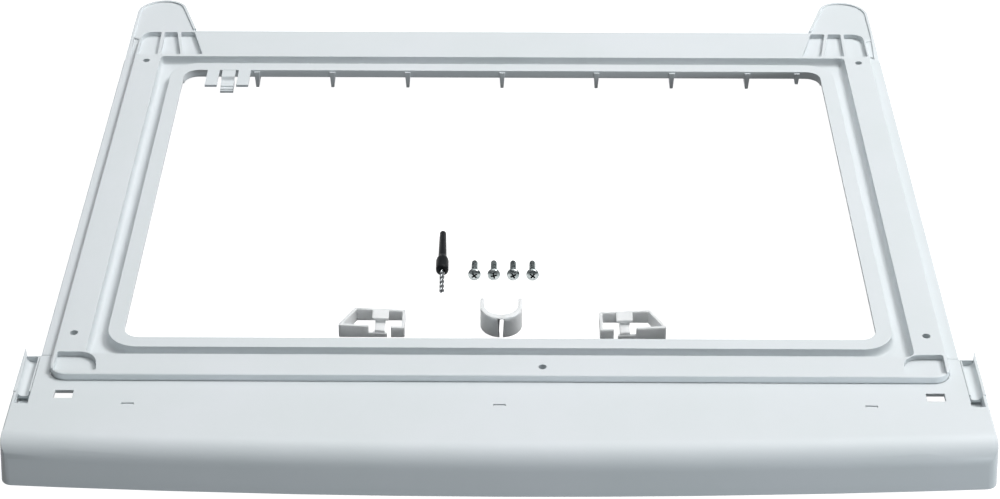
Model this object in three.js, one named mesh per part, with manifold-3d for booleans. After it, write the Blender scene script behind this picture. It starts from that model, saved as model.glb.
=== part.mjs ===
// Stacking kit that joins a dryer to the washer under it, with its loose fitting pieces.
// Millimetres, +Z up, the front fascia faces -Y. The origin is the centre of the base of the whole kit.

import * as THREE from 'three';
import { mergeVertices } from 'three/addons/utils/BufferGeometryUtils.js';
import Module from 'manifold-3d';

const wasm = await Module();
wasm.setup();

// General values
const wall = 2.5;
const clearance = 0.3;
const overrun = 5;
const arcChord = 2.4;
const leastArcSteps = 3;

// Frame, seen from above
const openingWidth = 470;
const openingDepth = 337.6;
const openingCornerRadius = 10;
const rimWidth = 10.2;
const grooveWidth = 10.6;
const grooveFrontWidth = 7.4;
const grooveFrontRadius = 5;
const grooveRearRadius = 3;
const sideStripWidth = 20;
const sideFlangeWidth = 8.2;
const frontStripWidth = 21.2;
const rearStripWidth = 40.3;
const earLength = 47;
const earTopWidth = 35;
const earFootWidth = 50.5;
const earSideInset = 2;
const earShoulderLength = 14;
const earShoulderSlant = 3;
const earOuterRadius = 20;
const earInnerRadius = 17;
const earBeadWidth = 2.1;
const earBeadHeight = 1.2;
const earBeadRun = 36;
const stripCornerRadius = 11;
const fasciaReach = 70.6;
const fasciaDraft = 1.6;
const fasciaEndDraft = 2.2;

// Frame, heights
const fasciaHeight = 31;
const plateauStep = 4.6;
const frameDepth = 14;
const plateauEdgeRadius = 1.2;
const flangeEdgeRadius = 0.8;
const grooveDepth = 6.4;
const grooveBottomRound = 4;
const grooveBottomInset = 2.6;
const rearLipDepth = 6;
const lipWall = 2.2;

const openingHalf = openingWidth / 2;
const rimHalf = openingHalf + rimWidth;
const grooveHalf = rimHalf + grooveWidth;
const stripHalf = grooveHalf + sideStripWidth;
const railHalf = stripHalf + sideFlangeWidth;
const earHalf = railHalf - earSideInset;
const earTipX = railHalf - earTopWidth;
const earFootX = railHalf - earFootWidth;
const ringDepth = openingDepth + rimWidth * 2 + grooveWidth + grooveFrontWidth;
const overallDepth = earLength + rearStripWidth + ringDepth + frontStripWidth + fasciaReach + fasciaDraft;
const earTipY = overallDepth / 2;
const railBackY = earTipY - earLength;
const grooveBackY = railBackY - rearStripWidth;
const rimBackY = grooveBackY - grooveWidth;
const openingBackY = rimBackY - rimWidth;
const openingFrontY = openingBackY - openingDepth;
const rimFrontY = openingFrontY - rimWidth;
const grooveFrontY = rimFrontY - grooveFrontWidth;
const stepY = grooveFrontY - frontStripWidth;
const fasciaFrontY = stepY - fasciaReach;
const plateauTop = fasciaHeight + plateauStep;
const frameUnderside = plateauTop - frameDepth;
const rimCornerRadius = openingCornerRadius + rimWidth;

// Recesses of the frame
const recessDepth = 3.8;
const recessEdge = 1.7;
const recessCornerRadius = 1.2;
const rearRecessLength = 34.5;
const rearRecessInset = 2.7;
const rearRecessRibWidth = 2.4;
const outerRecessWidth = 14.2;
const middleRecessWidth = 9.7;
const innerRecessWidth = 10.7;
const outerRibFan = 1;
const innerRibFan = 6.2;
const innerRecessFan = 9.8;
const outerRecessRadius = 8;
const frontRecessWidth = 27.5;
const frontRecessLength = 18.75;
const frontRecessInset = 4.4;
const frontRecessFan = 3;
const frontRecessRadius = 12;

// Screw holes and their bosses
const screwHoleDiameter = 5;
const bossDiameter = 11;
const sideHoleInset = 9.8;
const rearHoleInset = 47;
const sideFrontHoleInset = 43;
const frontHoleX = 26.2;
const frontHoleInset = 9.2;

// Ribs under the frame
const ribTopWidth = 4.2;
const ribFootWidth = 2.3;
const ribProud = 1.2;
const rearRibShares = [-0.774, -0.536, -0.298, 0, 0.298, 0.536, 0.774];
const shortRibShare = 0.931;
const shortRibRise = 4;
const railRibWidth = 2;
const railRibCount = 5;
const railRibPitch = openingDepth / (railRibCount + 1);
const frontRibCount = 7;
const frontRibPitch = openingWidth / frontRibCount;

// Cable holder on the rear rim
const holderInset = 32.6;
const holderCentreX = holderInset - openingHalf;
const tabWidth = 8.9;
const tabLength = 22.2;
const tabThickness = 2;
const tongueWidth = 9.8;
const tongueGap = 2.2;
const tongueThickness = 2.2;
const tongueFlatLength = 7.2;
const tongueRampLength = 2.8;
const tongueDrop = 6.6;
const tongueEndLength = 11.5;
const tongueRidgeHeight = 0.8;
const tongueRidgeLength = 1.4;
const tongueRidgePitch = 4.2;

// Side clips
const sideClipWidth = 10.4;
const sideClipLength = 48.6;
const sideClipTail = 9.4;
const sideClipWall = 2;
const sideClipDepth = 9;
const sideClipFloorWall = 1.8;
const sideClipChannelDepth = 4.1;
const sideClipRound = 4;
const sideClipHoleLength = 12;
const sideClipEndWall = 1.5;
const clipInnerX = railHalf + clearance * 2;
const clipOuterX = clipInnerX + sideClipWidth;

// Front fascia
const fasciaTopHalf = clipOuterX;
const fasciaBow = 9;
const bowSteps = 14;
const noseRadius = 14;
const noseSteps = 10;
const innerNoseSteps = 6;
const fasciaEdgeRadius = 1.5;
const fasciaCornerRadius = 7;
const fasciaRearLength = 25.4;
const apronSideLength = 26;
const apronCutRadius = 12;
const fasciaCheekWall = 2;
const clipLedgeThickness = 2;
const clipLedgeOverlap = 4;
const windowWidth = 11.3;
const windowLength = 7.6;
const windowSideInset = 11.8;
const windowX = stripHalf - windowSideInset;
const windowInset = 10.2;
const slotWidth = 7.4;
const slotLength = 1.8;
const slotSideInset = 51.8;
const slotX = stripHalf - slotSideInset;
const slotInset = 23.2;
const gussetWall = 2;
const gussetCount = 10;
const gussetPitch = (fasciaTopHalf * 2) / gussetCount;
const gussetFoot = 8;
const gussetTop = 24;

// Hooks of the frame that hold the fascia
const hookWidth = 18;
const hookThickness = 2.2;
const hookNibThickness = 1.1;
const hookEndLength = 3;

// Wedge brackets
const bracketFrontWidth = 42.5;
const bracketRearWidth = 32.3;
const bracketDepth = 20.3;
const bracketTallHeight = 9.6;
const bracketLowHeight = 7.2;
const bracketWall = 2;
const bracketRadius = 1;
const shelfWidth = 10.4;
const shelfLength = 8.6;
const shelfThickness = 2;
const shelfPlace = 15.8;
const shelfTongueWidth = 6.4;
const shelfTongueDrop = 3.2;
const notchWidth = 14;
const notchDepth = 5;
const bracketSlitWidth = 2.5;
const leftBracketX = 60.2;
const leftBracketInset = 19.75;
const rightBracketX = 63.2;
const rightBracketInset = 18.15;

// Hose clip
const hoseClipWidth = 26.8;
const hoseClipLength = 22.4;
const hoseClipHeight = 15;
const hoseClipBore = 21.4;
const hoseClipFrontWall = 4.4;
const hoseClipSlit = 2.8;
const hoseClipBridge = 1.6;
const hoseClipX = 0.8;
const hoseClipInset = 19.95;
const hoseClipFrontY = openingFrontY + hoseClipInset;
const hoseClipSteps = 10;

// Screws
const screwHeadDiameter = 8;
const screwHeadHeight = 2.8;
const screwHeadDrop = 0.6;
const screwDomeShares = [
  [0.86, 0.66],
  [0.5, 0.95],
];
const screwShaftDiameter = 4.2;
const screwLength = 18.5;
const screwTipLength = 2.4;
const screwTipDiameter = 2.4;
const screwPitch = 12.7;
const screwRowX = 2;
const screwInset = 82.25;
const screwFrontY = openingFrontY + screwInset;
const recessArmLength = 4.6;
const recessArmWidth = 1.2;
const recessCrossDepth = 1.8;
const screwSteps = 16;
const screwCount = 4;

// Drill
const drillX = -38.2;
const drillInset = 136.65;
const drillBackY = openingFrontY + drillInset;
const drillTurnDegrees = 0.8;
const shankLength = 31.6;
const shankTopDiameter = 4.4;
const shankFootDiameter = 5.6;
const shankEndRound = 0.8;
const collarShoulder = 4.6;
const shoulderRoundShare = 0.75;
const collarLength = 13.5;
const collarDiameter = 8.4;
const collarChamfer = 1.6;
const bitDiameter = 2.8;
const bitReach = 26.4;
const bitSocket = 10;
const bitPoint = 1.2;
const bitCore = 0.9;
const fluteLead = 11;
const fluteSteps = 30;
const fluteSectionSteps = 12;

// Materials
function finish(colour, roughness, metalness) {
  return new THREE.MeshStandardMaterial({ color: colour, roughness, metalness });
}

const framePlastic = finish(0xdfe4e6, 0.45, 0);
const fasciaPlastic = finish(0xdde2e5, 0.4, 0);
const clipPlastic = finish(0xe2e7e9, 0.4, 0);
const loosePlastic = finish(0xeceeef, 0.45, 0);
const zincSteel = finish(0xb4b8ba, 0.35, 1);
const drillSteel = finish(0x55585a, 0.35, 1);
const blackPlastic = finish(0x1d2022, 0.5, 0);

// Solids from closed meshes, and meshes from solids
function solidOf(geometry) {
  const bare = geometry.index ? geometry.toNonIndexed() : geometry.clone();
  bare.deleteAttribute('normal');
  bare.deleteAttribute('uv');
  const merged = mergeVertices(bare);
  const vertProperties = new Float32Array(merged.attributes.position.array);
  const triVerts = new Uint32Array(merged.index.array);
  const mesh = new wasm.Mesh({ numProp: 3, vertProperties, triVerts });
  mesh.merge();
  return new wasm.Manifold(mesh);
}

function geometryOf(solid) {
  const { vertProperties, triVerts } = solid.getMesh();
  const geometry = new THREE.BufferGeometry();
  geometry.setAttribute('position', new THREE.BufferAttribute(vertProperties, 3));
  geometry.setIndex(new THREE.BufferAttribute(triVerts, 1));
  const faceted = geometry.toNonIndexed();
  faceted.computeVertexNormals();
  return faceted;
}

function meshOf(name, solid, material) {
  const mesh = new THREE.Mesh(geometryOf(solid), material);
  mesh.name = name;
  return mesh;
}

function joined(solids) {
  return solids.reduce((whole, solid) => whole.add(solid));
}

// Outlines: a list of corners, each with the radius that rounds it
function corner(x, y, radius = 0) {
  return { x, y, radius };
}

function mirroredCorners(corners) {
  const other = corners.map((point) => corner(-point.x, point.y, point.radius));
  return corners.concat(other.reverse());
}

function signedArea(corners) {
  let sum = 0;
  corners.forEach((point, index) => {
    const next = corners[(index + 1) % corners.length];
    sum += point.x * next.y - next.x * point.y;
  });
  return sum / 2;
}

// Moves every edge of an outline inwards by a distance, or outwards where it is negative
function inset(corners, distance) {
  const turn = Math.sign(signedArea(corners));
  const count = corners.length;
  return corners.map((point, index) => {
    const before = corners[(index + count - 1) % count];
    const after = corners[(index + 1) % count];
    const arriving = new THREE.Vector2(point.x - before.x, point.y - before.y).normalize();
    const leaving = new THREE.Vector2(after.x - point.x, after.y - point.y).normalize();
    const normalIn = new THREE.Vector2(-arriving.y, arriving.x).multiplyScalar(turn);
    const normalOut = new THREE.Vector2(-leaving.y, leaving.x).multiplyScalar(turn);
    const middle = normalIn.clone().add(normalOut);
    const shift = distance / (middle.lengthSq() / 2);
    const bulge = Math.sign(arriving.cross(leaving)) * turn;
    const radius = point.radius > 0 ? Math.max(point.radius - bulge * distance, 0) : 0;
    return corner(point.x + middle.x * shift, point.y + middle.y * shift, radius);
  });
}

// The points of an outline, with an arc at each rounded corner
function outlinePoints(corners) {
  const points = [];
  const count = corners.length;
  corners.forEach((point, index) => {
    const here = new THREE.Vector2(point.x, point.y);
    if (point.radius === 0) {
      points.push(here);
      return;
    }
    const before = corners[(index + count - 1) % count];
    const after = corners[(index + 1) % count];
    const back = new THREE.Vector2(before.x, before.y).sub(here).normalize();
    const ahead = new THREE.Vector2(after.x, after.y).sub(here).normalize();
    const halfAngle = Math.acos(back.dot(ahead)) / 2;
    const bisector = back.clone().add(ahead).normalize();
    const centre = here.clone().addScaledVector(bisector, point.radius / Math.sin(halfAngle));
    const start = here.clone().addScaledVector(back, point.radius / Math.tan(halfAngle)).sub(centre);
    const sweep = (Math.PI - halfAngle * 2) * -Math.sign(back.cross(ahead));
    const steps = Math.max(leastArcSteps, Math.ceil((point.radius * Math.abs(sweep)) / arcChord));
    for (let step = 0; step <= steps; step += 1) {
      const spoke = start.clone().rotateAround(new THREE.Vector2(), (sweep * step) / steps);
      points.push(spoke.add(centre));
    }
  });
  return points;
}

function shapeOf(corners, holeCorners = null) {
  const points = outlinePoints(corners);
  if (signedArea(corners) < 0) points.reverse();
  const shape = new THREE.Shape(points);
  if (holeCorners) shape.holes.push(new THREE.Path(outlinePoints(holeCorners)));
  return shape;
}

// An upright solid between two heights
function upright(corners, bottom, top, holeCorners = null) {
  const shape = shapeOf(corners, holeCorners);
  const geometry = new THREE.ExtrudeGeometry(shape, { depth: top - bottom, bevelEnabled: false });
  geometry.translate(0, 0, bottom);
  return solidOf(geometry);
}

// An upright solid whose two ends are rounded, along the wall and across it
function roundedUpright(corners, bottom, top, along, across, steps, holeCorners = null) {
  const geometry = new THREE.ExtrudeGeometry(shapeOf(corners, holeCorners), {
    depth: top - bottom - along * 2,
    bevelEnabled: true,
    bevelThickness: along,
    bevelSize: across,
    bevelOffset: -across,
    bevelSegments: steps,
  });
  geometry.translate(0, 0, bottom + along);
  return solidOf(geometry);
}

// An upright solid with a flat foot and a rounded top edge
function roundedTop(corners, bottom, top, radius, steps) {
  const tall = roundedUpright(corners, bottom - radius - overrun, top, radius, radius, steps);
  const margin = overrun * 2;
  const keep = upright(inset(boundsOf(corners), -margin), bottom, top + overrun);
  return tall.intersect(keep);
}

function boundsOf(corners) {
  const xs = corners.map((point) => point.x);
  const ys = corners.map((point) => point.y);
  return rectangle(Math.min(...xs), Math.max(...xs), Math.min(...ys), Math.max(...ys));
}

function rectangle(left, right, front, back, radius = 0) {
  return [
    corner(left, front, radius),
    corner(right, front, radius),
    corner(right, back, radius),
    corner(left, back, radius),
  ];
}

function block(left, right, front, back, bottom, top) {
  return upright(rectangle(left, right, front, back), bottom, top);
}

// A block on the left side (-1) or the right side (1), between two distances from the middle
function sideBlock(side, innerX, outerX, front, back, bottom, top) {
  const left = Math.min(side * innerX, side * outerX);
  const right = Math.max(side * innerX, side * outerX);
  return block(left, right, front, back, bottom, top);
}

// A block round a point, by its width and length
function blockAt(x, y, width, length, bottom, top) {
  return block(x - width / 2, x + width / 2, y - length / 2, y + length / 2, bottom, top);
}

function postAt(x, y, radius, bottom, top, steps = 20) {
  const geometry = new THREE.CylinderGeometry(radius, radius, top - bottom, steps);
  geometry.rotateX(Math.PI / 2);
  geometry.translate(x, y, (bottom + top) / 2);
  return solidOf(geometry);
}

// A section drawn in X and Z, run along Y from front to back
function alongY(section, front, back) {
  const depth = back - front;
  const geometry = new THREE.ExtrudeGeometry(shapeOf(section), { depth, bevelEnabled: false });
  const across = new THREE.Vector3(1, 0, 0);
  const up = new THREE.Vector3(0, 0, 1);
  const run = new THREE.Vector3(0, -1, 0);
  geometry.applyMatrix4(new THREE.Matrix4().makeBasis(across, up, run));
  geometry.translate(0, back, 0);
  return solidOf(geometry);
}

// A section drawn in Y and Z, run along X from left to right
function alongX(section, left, right) {
  const depth = right - left;
  const geometry = new THREE.ExtrudeGeometry(shapeOf(section), { depth, bevelEnabled: false });
  const across = new THREE.Vector3(0, 1, 0);
  const up = new THREE.Vector3(0, 0, 1);
  const run = new THREE.Vector3(1, 0, 0);
  geometry.applyMatrix4(new THREE.Matrix4().makeBasis(across, up, run));
  geometry.translate(left, 0, 0);
  return solidOf(geometry);
}

// Outlines of the frame
function earTip() {
  return [corner(earHalf, earTipY, earOuterRadius), corner(earTipX, earTipY, earInnerRadius)];
}

function flangeOutline() {
  const beadFrontY = railBackY - earBeadRun;
  return mirroredCorners([
    corner(railHalf, stepY + fasciaRearLength),
    corner(railHalf, beadFrontY - earSideInset),
    corner(earHalf, beadFrontY),
    ...earTip(),
    corner(earFootX, railBackY),
  ]);
}

function plateauOutline() {
  const shoulderY = railBackY - earShoulderLength;
  return mirroredCorners([
    corner(stripHalf, stepY, stripCornerRadius),
    corner(stripHalf, shoulderY),
    corner(earHalf, shoulderY + earShoulderSlant),
    ...earTip(),
    corner(earFootX, railBackY),
  ]);
}

function openingOutline() {
  return rectangle(-openingHalf, openingHalf, openingFrontY, openingBackY, openingCornerRadius);
}

function rimOutline() {
  return rectangle(-rimHalf, rimHalf, rimFrontY, rimBackY, rimCornerRadius);
}

function grooveOutline() {
  return [
    corner(-grooveHalf, grooveFrontY, grooveFrontRadius),
    corner(grooveHalf, grooveFrontY, grooveFrontRadius),
    corner(grooveHalf, grooveBackY, grooveRearRadius),
    corner(-grooveHalf, grooveBackY, grooveRearRadius),
  ];
}

// Three recesses side by side that fan out towards the front, in a rear corner
function rearRecessOutlines(side) {
  const backY = railBackY - rearRecessInset;
  const frontY = backY - rearRecessLength;
  const widths = [outerRecessWidth, middleRecessWidth, innerRecessWidth];
  const fans = [outerRibFan, innerRibFan, innerRecessFan];
  let edge = stripHalf - recessEdge;
  return widths.map((width, index) => {
    const fan = fans[index];
    const outerFan = index > 0 ? fans[index - 1] : 0;
    const radius = index > 0 ? recessCornerRadius : outerRecessRadius;
    const corners = [
      corner(side * edge, backY, radius),
      corner(side * (edge - outerFan), frontY, recessCornerRadius),
      corner(side * (edge - width - fan), frontY, recessCornerRadius),
      corner(side * (edge - width), backY, recessCornerRadius),
    ];
    edge -= width + rearRecessRibWidth;
    return corners;
  });
}

// The quarter-round recess in a front corner
function frontRecessOutline(side) {
  const outerX = stripHalf - recessEdge;
  const innerX = outerX - frontRecessWidth;
  const frontY = stepY + frontRecessInset;
  const backY = frontY + frontRecessLength;
  return [
    corner(side * outerX, backY, recessCornerRadius),
    corner(side * outerX, frontY, recessCornerRadius),
    corner(side * innerX, frontY, recessCornerRadius),
    corner(side * (innerX + frontRecessFan), backY, frontRecessRadius),
  ];
}

function recessOutlines() {
  const outlines = [];
  [-1, 1].forEach((side) => {
    outlines.push(...rearRecessOutlines(side), frontRecessOutline(side));
  });
  return outlines;
}

function screwHolePlaces() {
  const x = stripHalf - sideHoleInset;
  const rearY = railBackY - rearHoleInset;
  const frontY = stepY + sideFrontHoleInset;
  return [
    [-x, rearY],
    [x, rearY],
    [-x, frontY],
    [x, frontY],
    [frontHoleX, stepY + frontHoleInset],
  ];
}

// Ribs under the rear strip, whose drafted ends show below the rear lip
function rearRibs() {
  return [...rearRibShares, shortRibShare].map((share) => {
    const x = share * openingHalf;
    const foot = share === shortRibShare ? frameUnderside + shortRibRise : frameUnderside;
    const section = [
      corner(x - ribFootWidth / 2, foot),
      corner(x + ribFootWidth / 2, foot),
      corner(x + ribTopWidth / 2, plateauTop - wall / 2),
      corner(x - ribTopWidth / 2, plateauTop - wall / 2),
    ];
    return alongY(section, openingBackY - ribProud, railBackY - wall / 2);
  });
}

// Cross ribs under the side rails and the front strip
function hiddenRibs() {
  const ribs = [];
  const top = plateauTop - wall / 2;
  const outerX = railHalf - wall / 2;
  const innerX = grooveHalf + wall / 2;
  const railMiddleY = (openingBackY + openingFrontY) / 2;
  for (let index = 0; index < railRibCount; index += 1) {
    const y = railMiddleY + (index - (railRibCount - 1) / 2) * railRibPitch;
    const half = railRibWidth / 2;
    ribs.push(block(innerX, stripHalf, y - half, y + half, frameUnderside, top));
    ribs.push(block(-stripHalf, -innerX, y - half, y + half, frameUnderside, top));
    ribs.push(block(stripHalf - wall, outerX, y - half, y + half, frameUnderside, fasciaHeight - wall / 2));
    ribs.push(block(-outerX, wall - stripHalf, y - half, y + half, frameUnderside, fasciaHeight - wall / 2));
  }
  for (let index = 0; index < frontRibCount; index += 1) {
    const x = (index - (frontRibCount - 1) / 2) * frontRibPitch;
    const half = railRibWidth / 2;
    ribs.push(block(x - half, x + half, stepY + wall / 2, grooveFrontY - wall / 2, frameUnderside, top));
  }
  return ribs;
}

// Hooks that reach under the fascia, each with a nib that stands in a slot of the fascia
function fasciaHooks() {
  const top = fasciaHeight - wall - clearance;
  const nibY = stepY - slotInset;
  const endY = nibY - hookEndLength;
  return [-slotX, 0, slotX].map((x) => {
    const half = hookWidth / 2;
    const nibWidth = slotWidth - clearance * 2;
    const plate = block(x - half, x + half, endY, stepY + wall / 2, top - hookThickness, top);
    const nibTop = fasciaHeight - clearance * 2;
    const nib = blockAt(x, nibY, nibWidth, hookNibThickness, top - hookThickness / 2, nibTop);
    return plate.add(nib);
  });
}

// The raised bead round an ear, which runs on along the side of the rail
function earBead(side) {
  const frontY = railBackY - earBeadRun;
  const outline = [corner(earHalf, frontY), ...earTip(), corner(earFootX, railBackY), corner(earFootX, frontY)];
  const placed = outline.map((point) => corner(side * point.x, point.y, point.radius));
  const top = plateauTop + earBeadHeight;
  const ring = upright(placed, frameUnderside, top).subtract(
    upright(inset(placed, earBeadWidth), frameUnderside - overrun, top + overrun),
  );
  const innerX = earFootX - overrun;
  const outerX = earHalf - earBeadWidth;
  const below = frameUnderside - overrun;
  return ring.subtract(sideBlock(side, innerX, outerX, frontY - overrun, railBackY, below, top + overrun));
}

// The two tabs of the cable holder, level with the rim
function holderTabs() {
  const offset = tongueWidth / 2 + tongueGap + tabWidth / 2;
  return [-offset, offset].map((shift) => {
    const x = holderCentreX + shift;
    const half = tabWidth / 2;
    const front = openingBackY - tabLength;
    return block(x - half, x + half, front, openingBackY + lipWall / 2, plateauTop - tabThickness, plateauTop);
  });
}

// The frame: a thin moulded ring with a raised plateau, a groove all round, recesses and ribs
function frameSolid() {
  const flange = flangeOutline();
  const plateau = plateauOutline();
  const flangeBody = roundedTop(flange, frameUnderside, fasciaHeight, flangeEdgeRadius, 2);
  const plateauBody = roundedTop(plateau, frameUnderside, plateauTop, plateauEdgeRadius, 2);
  const body = flangeBody.add(plateauBody);
  const below = frameUnderside - overrun;
  const hollow = joined([
    upright(inset(flange, wall), below, fasciaHeight - wall),
    upright(inset(plateau, wall), below, plateauTop - wall),
  ]);

  const trough = upright(
    inset(grooveOutline(), -wall),
    plateauTop - grooveDepth - wall,
    plateauTop - wall / 2,
    inset(rimOutline(), wall),
  );
  const lipHole = openingOutline();
  const lip = upright(inset(lipHole, -lipWall), plateauTop - rearLipDepth, plateauTop - wall / 2, lipHole);
  const lipKeep = block(
    -grooveHalf,
    grooveHalf,
    openingBackY - openingCornerRadius,
    grooveBackY,
    frameUnderside,
    plateauTop,
  );
  const recessBodies = recessOutlines().map((outline) => {
    const around = inset(outline, -wall);
    return upright(around, plateauTop - recessDepth - wall, plateauTop - wall / 2);
  });
  const bosses = screwHolePlaces().map(([x, y]) => {
    return postAt(x, y, bossDiameter / 2, frameUnderside, plateauTop - wall / 2);
  });
  const inner = joined([trough, lip.intersect(lipKeep), ...recessBodies, ...bosses, ...hiddenRibs()]);
  let frame = body.subtract(hollow).add(inner.intersect(body));

  const opening = upright(openingOutline(), below, plateauTop + overrun);
  frame = frame.subtract(opening);
  frame = joined([frame, ...rearRibs(), ...fasciaHooks(), ...holderTabs(), earBead(-1), earBead(1)]);

  const groove = roundedUpright(
    grooveOutline(),
    plateauTop - grooveDepth,
    plateauTop + grooveBottomRound + overrun,
    grooveBottomRound,
    grooveBottomInset,
    3,
    rimOutline(),
  );
  const recesses = recessOutlines().map((outline) => {
    return upright(outline, plateauTop - recessDepth, plateauTop + overrun);
  });
  const holes = screwHolePlaces().map(([x, y]) => {
    return postAt(x, y, screwHoleDiameter / 2, below, plateauTop + overrun);
  });
  return frame.subtract(joined([groove, ...recesses, ...holes]));
}

// The tongue of the cable holder: level at the rim, then down a ramp to a flat end
function tongueSolid() {
  const rootY = openingBackY - clearance;
  const topZ = plateauTop;
  const lowZ = topZ - tongueDrop;
  const rampY = rootY - tongueFlatLength;
  const flatY = rampY - tongueRampLength;
  const endY = flatY - tongueEndLength;
  const ridgeZ = lowZ + tongueRidgeHeight;
  const ridgeY = endY + tongueRidgePitch;
  const rampShift = tongueThickness * Math.tan(Math.atan2(tongueDrop, tongueRampLength) / 2);
  const section = [
    corner(rootY, topZ - tongueThickness, tongueThickness / 2),
    corner(rootY, topZ),
    corner(rampY, topZ, tongueThickness),
    corner(flatY, lowZ, tongueThickness / 2),
    corner(ridgeY + tongueRidgeLength, lowZ),
    corner(ridgeY + tongueRidgeLength, ridgeZ),
    corner(ridgeY, ridgeZ),
    corner(ridgeY, lowZ),
    corner(endY + tongueRidgeLength, lowZ),
    corner(endY + tongueRidgeLength, ridgeZ),
    corner(endY, ridgeZ),
    corner(endY, lowZ - tongueThickness),
    corner(flatY + rampShift, lowZ - tongueThickness, tongueThickness),
    corner(rampY + rampShift, topZ - tongueThickness, tongueThickness / 2),
  ];
  const half = tongueWidth / 2;
  return alongX(section, holderCentreX - half, holderCentreX + half);
}

// Outline of the fascia from above, to a given half width: a gentle bow in front and straight ends
function bowOutline(half, cornerRadius) {
  const bowRadius = (fasciaTopHalf * fasciaTopHalf + fasciaBow * fasciaBow) / (fasciaBow * 2);
  const centreY = fasciaFrontY + bowRadius;
  const right = [];
  for (let step = 1; step <= bowSteps; step += 1) {
    const x = (half * step) / bowSteps;
    const y = centreY - Math.sqrt(bowRadius * bowRadius - x * x);
    right.push(corner(x, y, step === bowSteps ? cornerRadius : 0));
  }
  const rearY = stepY + fasciaRearLength + noseRadius + overrun;
  const leftToRight = right.map((point) => corner(-point.x, point.y, point.radius)).reverse();
  return [
    ...leftToRight,
    corner(0, fasciaFrontY),
    ...right,
    corner(half, rearY),
    corner(-half, rearY),
  ];
}

// Moulding draft: the foot stands out further than the top, in front and at both ends
function drafted(solid) {
  const geometry = geometryOf(solid);
  const position = geometry.attributes.position;
  const rearY = stepY + fasciaRearLength;
  for (let index = 0; index < position.count; index += 1) {
    const x = position.getX(index);
    const y = position.getY(index);
    const z = position.getZ(index);
    const drop = (fasciaHeight - z) / fasciaHeight;
    const outward = (x / fasciaTopHalf) * fasciaEndDraft * drop;
    const forward = ((rearY - y) / (rearY - fasciaFrontY)) * fasciaDraft * drop;
    position.setXYZ(index, x + outward, y - forward, z);
  }
  return solidOf(geometry);
}

// The full body of the fascia at a depth below its skin: a large round nose in front, upright ends
function fasciaBody(depth, bottom, steps) {
  const top = fasciaHeight - depth;
  const widest = inset(bowOutline(fasciaTopHalf + noseRadius * 2, 0), depth);
  const nose = roundedTop(widest, bottom, top, noseRadius - depth, steps);
  const outline = inset(bowOutline(fasciaTopHalf, fasciaCornerRadius), depth);
  const edge = fasciaEdgeRadius - depth;
  const ends = edge > 0 ? roundedTop(outline, bottom, top, edge, 2) : upright(outline, bottom, top);
  return drafted(nose.intersect(ends));
}

// The side profile of the cut that leaves a deep apron in front and shallow side arms
function armCutSection() {
  const apronBackY = fasciaFrontY + fasciaBow + apronSideLength;
  return [
    corner(apronBackY, -overrun),
    corner(stepY + fasciaRearLength * 2, -overrun),
    corner(stepY + fasciaRearLength * 2, frameUnderside),
    corner(apronBackY, frameUnderside, apronCutRadius),
  ];
}

const clipSlotFrontY = stepY + fasciaRearLength - sideClipLength;

function fasciaSolid() {
  const rearY = stepY + fasciaRearLength - clearance;
  const innerTop = fasciaHeight - wall;
  const wide = fasciaTopHalf * 2;
  const shell = fasciaBody(0, 0, noseSteps).subtract(fasciaBody(wall, -overrun, innerNoseSteps));
  const core = fasciaBody(wall / 2, 0, noseSteps);
  const gussets = [];
  for (let index = 0; index < gussetCount; index += 1) {
    const x = (index - (gussetCount - 1) / 2) * gussetPitch;
    const section = [
      corner(fasciaFrontY - fasciaDraft - overrun, 0),
      corner(fasciaFrontY + fasciaBow + gussetFoot, 0),
      corner(fasciaFrontY + fasciaBow + gussetTop, fasciaHeight),
      corner(fasciaFrontY - fasciaDraft - overrun, fasciaHeight),
    ];
    gussets.push(alongX(section, x - gussetWall / 2, x + gussetWall / 2));
  }
  const cheekX = railHalf + clearance;
  const cheekInnerX = cheekX - fasciaCheekWall;
  const slotWallY = clipSlotFrontY - wall;
  const underSkin = fasciaHeight - wall / 2;
  const cheeks = [-1, 1].map((side) => {
    return sideBlock(side, cheekInnerX, cheekX, slotWallY, rearY, frameUnderside, underSkin);
  });
  const slotEnds = [-1, 1].map((side) => {
    return sideBlock(side, cheekInnerX, fasciaTopHalf, slotWallY, clipSlotFrontY, frameUnderside, underSkin);
  });
  const ledges = [-1, 1].map((side) => {
    const outerX = clipOuterX - sideClipWall - clearance;
    const innerX = cheekX - fasciaCheekWall / 2;
    const backY = clipSlotFrontY + sideClipHoleLength + clipLedgeOverlap;
    const top = frameUnderside + clipLedgeThickness;
    return sideBlock(side, innerX, outerX, clipSlotFrontY - wall / 2, backY, frameUnderside, top);
  });

  const above = plateauTop + overrun;
  const frameRoom = upright(inset(plateauOutline(), -clearance), frameUnderside - overrun, above);
  const behind = block(-wide, wide, rearY, rearY + overallDepth, -overrun, above);
  const arms = alongX(armCutSection(), -wide, wide);
  const clipRooms = [-1, 1].map((side) => {
    const channelY = clipSlotFrontY + sideClipHoleLength - clearance;
    const hole = sideBlock(side, cheekX, fasciaTopHalf - wall, clipSlotFrontY, rearY, -overrun, above);
    return hole.add(sideBlock(side, cheekX, wide, channelY, rearY + overrun, -overrun, above));
  });
  const windowY = stepY - windowInset - windowLength / 2;
  const windows = [-windowX, windowX].map((x) => {
    return blockAt(x, windowY, windowWidth, windowLength, innerTop - overrun, above);
  });
  const slots = [-slotX, 0, slotX].map((x) => {
    return blockAt(x, stepY - slotInset, slotWidth, slotLength, innerTop - overrun, above);
  });
  const inside = joined([...gussets, ...cheeks, ...slotEnds]).intersect(core);
  const rooms = joined([frameRoom, behind, arms, ...clipRooms, ...windows, ...slots]);
  return joined([shell.add(inside).subtract(rooms), ...ledges]);
}

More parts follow.
